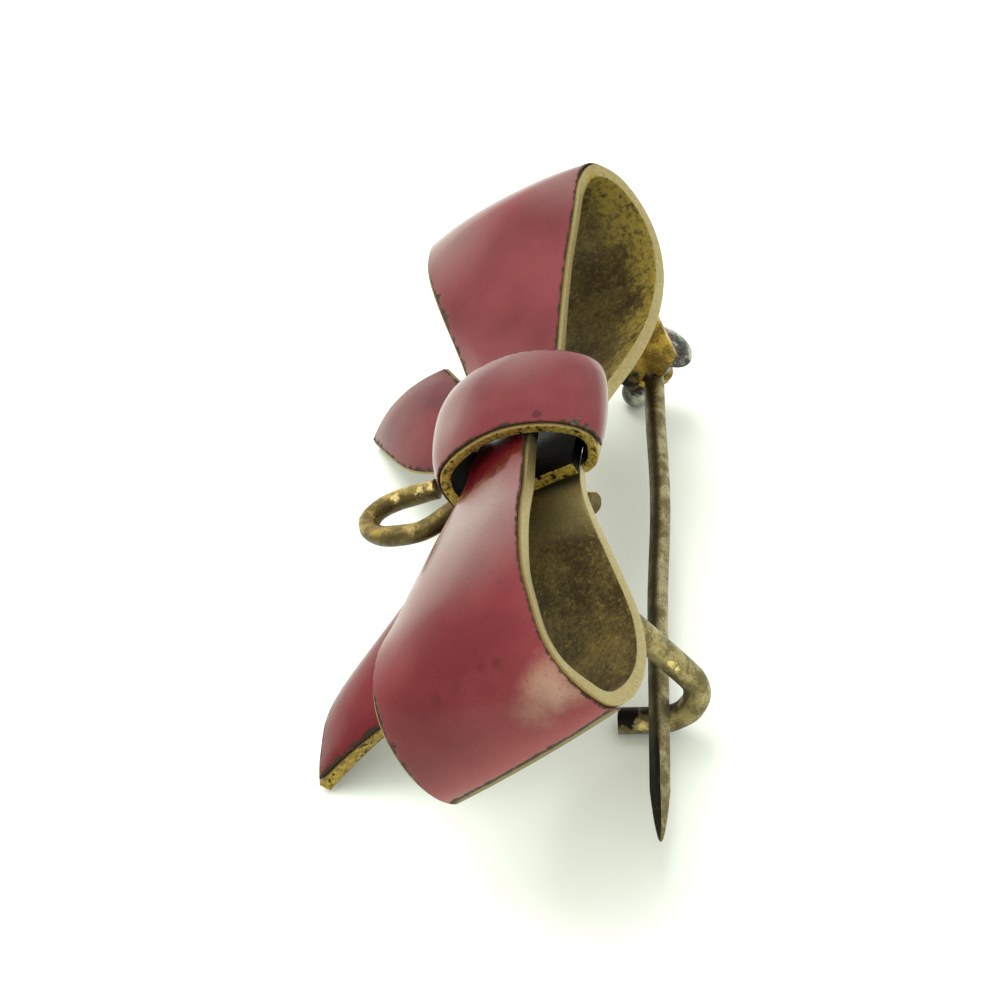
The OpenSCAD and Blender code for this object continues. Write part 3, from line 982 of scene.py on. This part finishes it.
@dataclass
class Pin(Assembly):
    """The pin stem, drawn out station by station and ground to a point.

    Attributes:
        body: The CAD body it rides on.
        start: Middle of its end at the knuckle, in millimetres in the row frame.
        tip: Its tip.
        radius: Radius of its wire.
        sides: Number of sides of its section.
        rings: Number of rings.
        crowding: How much closer the rings are to the tip; 1 spaces them evenly.
        neck: Share of the length over which it thins at the knuckle.
        neck_loss: Share of the radius that it loses there.
        point: Share of the length of its point.
        fullness: How full the point is; 1 is a cone and less is fuller.
        blunt: Share of the radius that is left at the tip.
        thinning: Share of the radius that it loses over its length.
        bow: How far it bends up towards the top of the brooch.
        bend: Shares of the length where the bend starts and over which it runs.
        flats: The flats ground on the side of the point that shows.
        flats_at: Share of the length where their depth is measured.
        shade: The direction that is painted darkest, as painted shade.
        finish: Its finish.
    """

    body: str = "pin"
    start: Place = (4.904, 12.171, 2.979)
    tip: Place = (5.831, -13.580, 1.874)
    radius: float = 0.46
    sides: int = 32
    rings: int = 48
    crowding: float = 1.4
    neck: float = 0.034
    neck_loss: float = 0.16
    point: float = 0.095
    fullness: float = 0.62
    blunt: float = 0.1
    thinning: float = 0.08
    bow: float = 0.22
    bend: tuple[float, float] = (0.06, 0.5)
    flats: tuple[Flat, ...] = (Flat(5, 0.24, 0.036), Flat(95, 0.24, 0.055))
    flats_at: float = 0.9
    shade: Place = (-1.0, 0.0, 0.1)
    finish: Wire = Wire((0.36, 0.32, 0.17), (0.15, 0.12, 0.05), 0.42, 0.32, shade_from=-0.15,
                        painted_black_shade=(7.6, 9.4))

    def share_at(self, ring: int) -> float:
        """Returns the share of the length at which a ring lies."""
        return 1 - (1 - ring / self.rings) ** self.crowding

    def radius_at(self, share: float) -> float:
        """Works out how thick the stem is.

        Args:
            share: A share of the length.

        Returns:
            The radius there.
        """
        neck = 1 - self.neck_loss * max(0.0, 1 - share / self.neck)
        point = min(1.0, max(0.0, (1 - share) / self.point)) ** self.fullness
        full = self.blunt + (1 - self.blunt) * point
        return self.radius * neck * full * (1 - self.thinning * share)

    def sway_at(self, share: float) -> float:
        """Works out how far the stem is bent aside.

        Args:
            share: A share of the length.

        Returns:
            The distance.
        """
        start, run = self.bend
        return self.bow * math.sin(math.pi * min(1.0, max(0.0, (share - start) / run))) ** 2

    def turn(self, along: Vector) -> Quaternion:
        """Works out the turn that lays the stem down with its bend towards the bow's top.

        Args:
            along: The direction of its axis.

        Returns:
            The turn.
        """
        forward = along.normalized()
        rise = BOW.axes()[0]
        side = (rise - rise.dot(forward) * forward).normalized()
        return Matrix((side, forward.cross(side), forward)).transposed().to_quaternion()

    def draw_out(self, length: float) -> bpy.types.Object:
        """Draws the stem out upwards from a circle, ring by ring.

        Args:
            length: Its length, in metres.

        Returns:
            The stem.
        """
        bpy.ops.object.select_all(action="DESELECT")
        bpy.ops.mesh.primitive_circle_add(vertices=self.sides, radius=self.radius_at(0) * MM,
                                          fill_type="NGON")
        piece = bpy.context.object
        piece.name = "pin_stem_finish"
        with editing(piece):
            for ring in range(1, self.rings + 1):
                before, share = self.share_at(ring - 1), self.share_at(ring)
                sway = self.sway_at(share)
                move = ((sway - self.sway_at(before)) * MM, 0.0, (share - before) * length)
                bpy.ops.mesh.extrude_region_move(TRANSFORM_OT_translate={"value": move})
                grow = self.radius_at(share) / self.radius_at(before)
                bpy.ops.transform.resize(value=(grow, grow, 1.0),
                                         center_override=(sway * MM, 0.0, share * length))
            bpy.ops.mesh.select_all(action="SELECT")
            bpy.ops.mesh.normals_make_consistent(inside=False)
        return piece

    def grind(self, piece: bpy.types.Object, length: float) -> None:
        """Grinds the flats with a large block each.

        Args:
            piece: The stem, still upright.
            length: Its length, in metres.
        """
        size = 2 * length
        for flat in self.flats:
            angle = math.radians(flat.angle_deg)
            across = Vector((math.cos(angle), math.sin(angle), 0))
            normal = (across + Vector((0, 0, flat.slope))).normalized()
            place = across * flat.depth * MM + Vector((0, 0, length * self.flats_at))
            bpy.ops.object.select_all(action="DESELECT")
            bpy.ops.mesh.primitive_cube_add(size=size)
            stone = bpy.context.object
            stone.rotation_mode = "QUATERNION"
            stone.rotation_quaternion = normal.to_track_quat("Z", "Y")
            stone.location = place + normal * size / 2
            bpy.context.view_layer.update()
            apply_modifier(piece, "BOOLEAN", operation="DIFFERENCE", solver="EXACT",
                           object=stone)
            bpy.data.objects.remove(stone)

    def make(self) -> None:
        """Builds and dresses the stem."""
        start, tip = Vector(self.start) * MM, Vector(self.tip) * MM
        length = (tip - start).length
        piece = self.draw_out(length)
        self.grind(piece, length)
        piece.rotation_mode = "QUATERNION"
        piece.rotation_quaternion = self.turn(tip - start)
        piece.location = start
        take_alone(piece)
        bpy.ops.object.transform_apply(location=True, rotation=True, scale=True)
        store_shade(piece, self.shade, by_face=True)
        metal = self.finish.material("pin_stem_metal")
        finish_piece(piece, self.body, "pin_stem", metal)


@dataclass(frozen=True)
class PhotoCamera:
    """The camera that was fitted to the photograph.

    Attributes:
        azimuth_deg: Its turn about the vertical.
        elevation_deg: Its angle above the table.
        distance: Its distance to the middle of the knot.
        focal_px: Its focal length in pixels of the photograph.
        frame_px: Width of the photograph.
        middle_px: Where the middle of the knot shows.
        sensor: Width of its sensor.
        clip: Nearest and farthest distance that it sees, in metres.
    """

    azimuth_deg: float = 3.64
    elevation_deg: float = 46.06
    distance: float = 111.611
    focal_px: float = 2734.47
    frame_px: float = 1000.0
    middle_px: tuple[float, float] = (517.41, 445.57)
    sensor: float = 36.0
    clip: tuple[float, float] = (0.005, 10.0)

    def make(self) -> None:
        """Adds the camera and makes it the scene's."""
        azimuth, elevation = math.radians(self.azimuth_deg), math.radians(self.elevation_deg)
        ahead = Vector((-math.sin(azimuth) * math.cos(elevation),
                        math.cos(azimuth) * math.cos(elevation), -math.sin(elevation)))
        right = ahead.cross(Vector((0, 0, 1))).normalized()
        up = right.cross(ahead)
        per_px = self.distance / self.focal_px
        across, down = (place - self.frame_px / 2 for place in self.middle_px)
        place = Vector(BOW.middle) - self.distance * ahead
        place += down * per_px * up - across * per_px * right
        data = bpy.data.cameras.new("photo_camera")
        data.sensor_width = self.sensor
        data.lens = self.focal_px * self.sensor / self.frame_px
        data.clip_start, data.clip_end = self.clip
        camera = bpy.data.objects.new("photo_camera", data)
        turn = Matrix((right, up, -ahead)).transposed().to_4x4()
        camera.matrix_world = Matrix.Translation(place * MM) @ turn
        bpy.context.scene.collection.objects.link(camera)
        bpy.context.scene.camera = camera


@dataclass(frozen=True)
class SoftBox:
    """A square soft light, aimed at the brooch.

    Attributes:
        name: Its name.
        place: Where it hangs, in metres.
        size: Length of its side, in metres.
        power: Its power, in watts.
    """

    name: str
    place: Place
    size: float
    power: float

    def make(self) -> None:
        """Adds the light."""
        data = bpy.data.lights.new(self.name, "AREA")
        data.size, data.energy = self.size, self.power
        lamp = bpy.data.objects.new(self.name, data)
        lamp.location = self.place
        lamp.visible_glossy = False
        lamp.rotation_euler = (-Vector(self.place)).to_track_quat("-Z", "Y").to_euler()
        bpy.context.scene.collection.objects.link(lamp)


@dataclass(frozen=True)
class Studio:
    """The table, the lights and the camera.

    Attributes:
        half_width: Half the width of the table, in metres.
        zenith: Brightness of the surroundings overhead.
        horizon: Brightness of the surroundings at table height.
        table: Finish of the table.
        camera: The camera.
        light: The light overhead.
    """

    half_width: float = 1.5
    zenith: float = 1.3
    horizon: float = 1.0
    table: TableTop = TableTop()
    camera: PhotoCamera = PhotoCamera()
    light: SoftBox = SoftBox("overhead", (-0.25, 0.20, 0.60), 0.45, 3.9)

    def make_table(self) -> None:
        """Adds the table top."""
        bpy.ops.object.select_all(action="DESELECT")
        bpy.ops.mesh.primitive_plane_add(size=2 * self.half_width)
        top = bpy.context.object
        top.name = "table_top"
        top.data.materials.append(self.table.material("table_paint"))
        top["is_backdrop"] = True

    def make_surroundings(self) -> None:
        """Adds white surroundings that are a little brighter overhead."""
        world = bpy.data.worlds.new("surroundings")
        world.use_nodes = True
        sky = Nodes(world.node_tree)
        direction = sky.node("ShaderNodeTexCoord", {}, {})
        parts = sky.node("ShaderNodeSeparateXYZ", {}, {0: direction.outputs["Generated"]})
        fade = sky.node("ShaderNodeMapRange", {}, {
            "Value": parts.outputs["Z"], "To Min": self.horizon, "To Max": self.zenith})
        white = sky.node("ShaderNodeBackground", {}, {
            "Color": (1.0, 1.0, 1.0, 1.0), "Strength": fade.outputs[0]})
        sky.node("ShaderNodeOutputWorld", {}, {"Surface": white.outputs[0]})
        bpy.context.scene.world = world

    def make(self) -> None:
        """Builds the stage round the brooch."""
        self.make_table()
        self.make_surroundings()
        bpy.context.scene.view_settings.view_transform = "Standard"
        self.light.make()
        self.camera.make()


def loops() -> list[Assembly]:
    """Lists the two loops.

    Returns:
        The right loop, which is the nearer one, and the left loop.
    """
    near_enamel = Enamel(
        fold_turn=0.42, gloss=1.30, coat=0.1,
        painted_sheen_spots=(Spot((0.3, -6.3, 2.5), 5.3, 1.0, 0.75), Spot((-2.6, -11.0, 3.0), 2.6, 1.0, 0.2)),
        worn=(Spot((3.3, -14.8, 0.5), 1.5, 0.9, 1.0), Spot((2.2, -14.95, 0.2), 1.3, 1.0, 0.6)),
        # The first three spots are the knot's painted shadow on the loop; the rest are stains.
        shaded_and_stained=(Spot((0.2, -2.6, 1.6), 1.6, 0.25), Spot((1.5, -2.3, 1.7), 1.1, 0.3),
                 Spot((-0.9, -3.3, 1.7), 0.9, 0.5), Spot((1.7, -13.9, 2.0), 0.4, 1.0, 0.5),
                 Spot((1.1, -13.8, 2.1), 0.4, 1.0, 0.5), Spot((-0.2, -14.2, 2.0), 0.5, 1.0, 0.35),
                 Spot((-1.2, -14.3, 1.9), 0.5, 1.0, 0.35),
                 Spot((-2.1, -14.5, 1.7), 0.4, 1.0, 0.35)),
        dirty=(Spot((-4.5, -14.0, 0.8), 2.6, 0.8),),
        chipped=(Spot((-4.2, -14.6, 0.4), 0.28), Spot((-4.3, -14.9, -0.2), 0.3),
                 Spot((-4.2, -14.2, 1.3), 0.2)))
    far_enamel = Enamel(
        fold_turn=0.42, dirty=(Spot((-3.2, 7.0, 1.8), 3.6, 0.5),),
        painted_sheen_spots=(Spot((-2.8, 11.8, 2.3), 3.6, 1.0, 0.5), Spot((3.0, 13.5, 1.8), 3.0, 1.0, 0.5)))
    return [
        Ribbon(node="right_loop", glaze_node="right_loop_enamel", hollow=(-9.0, -0.9),
               sheet=GiltSheet(side=-1.0, painted_light_rise=5.5), enamel=near_enamel),
        Ribbon(node="left_loop", glaze_node="left_loop_enamel", hollow=(9.0, -0.9),
               enamel=far_enamel, spread=0.55),
    ]


def tails() -> list[Assembly]:
    """Lists the two tails.

    Returns:
        The right tail and the left tail.
    """
    enamel = Enamel(body=(0.135, 0.014, 0.016), deep=(0.085, 0.005, 0.008), border=0.13,
                    gloss=1.22, coat=0.05)
    return [
        Ribbon(node=node, glaze_node=f"{node}_enamel", region=Region.TAIL, enamel=enamel,
               sheet=GiltSheet(side=side, raw=(0.38, 0.26, 0.05), raw_reach=(8.0, 14.0),
                               painted_light_rise=9.0))
        for node, side in (("right_tail", -1.0), ("left_tail", 1.0))
    ]


def knot() -> Assembly:
    """Describes the knot.

    Returns:
        The band with its enamel.
    """
    enamel = Enamel(
        border=0.06,
        painted_sheen_spots=(Spot((-0.9, -0.8, 3.1), 2.0, 1.0, 0.38), Spot((2.2, 1.4, 2.9), 2.2, 1.0, 0.3)),
        shaded_and_stained=(Spot((2.96, -1.78, 2.19), 0.2, 0.25),),
        chipped=(Spot((4.05, -1.97, 1.07), 0.24), Spot((4.2, -1.98, 0.6), 0.2),
                 Spot((4.28, -1.98, 0.1), 0.16)))
    gold = GiltSheet(rim=(0.50, 0.36, 0.10), raw=(0.58, 0.42, 0.09), raw_reach=(1.9, 3.0),
                     painted_shade_reach=(2.6, 3.0), painted_shadow_reach=(-20.0, -19.0), painted_light_rise=9.0)
    return Ribbon(node="knot_band", glaze_node="knot_enamel", region=Region.KNOT,
                  hollow=(0.6, 0.4), sheet=gold, enamel=enamel, rough=0.02)


def wires() -> list[Assembly]:
    """Lists the bent wires.

    Returns:
        The watch hook and the catch.
    """
    # The bright spots of the hook and the catch are painted glints on rubbed flats.
    hook = Wire((0.50, 0.36, 0.09), (0.18, 0.13, 0.05), 0.42, 0.26, shade_from=-0.3,
                glints_and_rubs=(Spot((-5.45, 0.61, 0.0), 0.24, 0.5, 0.8),
                        Spot((-4.9, 0.66, -0.1), 0.26, 0.5, 0.9),
                        Spot((-4.45, 0.6, -0.2), 0.22, 0.5, 0.8),
                        Spot((-6.62, 0.67, 0.18), 0.24, 0.5, 0.9),
                        Spot((-5.67, -1.64, 0.0), 0.25, 0.9, 0.3)))
    catch = Wire((0.36, 0.295, 0.125), (0.14, 0.11, 0.045), 0.44, 0.3,
                 glints_and_rubs=(Spot((1.84, -7.04, -8.13), 0.2, 0.4, 0.8),
                         Spot((1.84, -7.0, -8.5), 0.14, 0.4, 0.8),
                         Spot((-1.5, -7.03, -10.6), 0.24, 0.5, 0.6),
                         Spot((-0.7, -7.0, -10.9), 0.2, 0.5, 0.5)),
                 black=(Spot((-2.0, -6.5, -9.8), 0.75, 0.2),
                        Spot((-0.2, -6.2, -10.6), 0.6, 0.4, 0.9),
                        Spot((-1.1, -6.2, -10.3), 0.55, 0.4, 0.9)))
    return [
        BentWire(finish=hook),
        BentWire(node="catch", slot="brass_wire", finish=catch, shade=(-0.3, 0.2, -0.9), seed=5),
    ]


def brooch() -> list[Assembly]:
    """Returns the sub-assemblies of the brooch."""
    return [*loops(), *tails(), knot(), *wires(), Hinge(), Pin()]


def corners() -> list[list[float]]:
    """Returns the shown object's box as two plain lists."""
    return [list(corner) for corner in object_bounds()]


def main() -> None:
    """Dresses the brooch and sets the stage."""
    logging.basicConfig(level=logging.INFO, format="%(name)s: %(message)s")
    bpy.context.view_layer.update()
    for assembly in brooch():
        assembly.make()
    Studio().make()


if __name__ == "__main__":
    main()
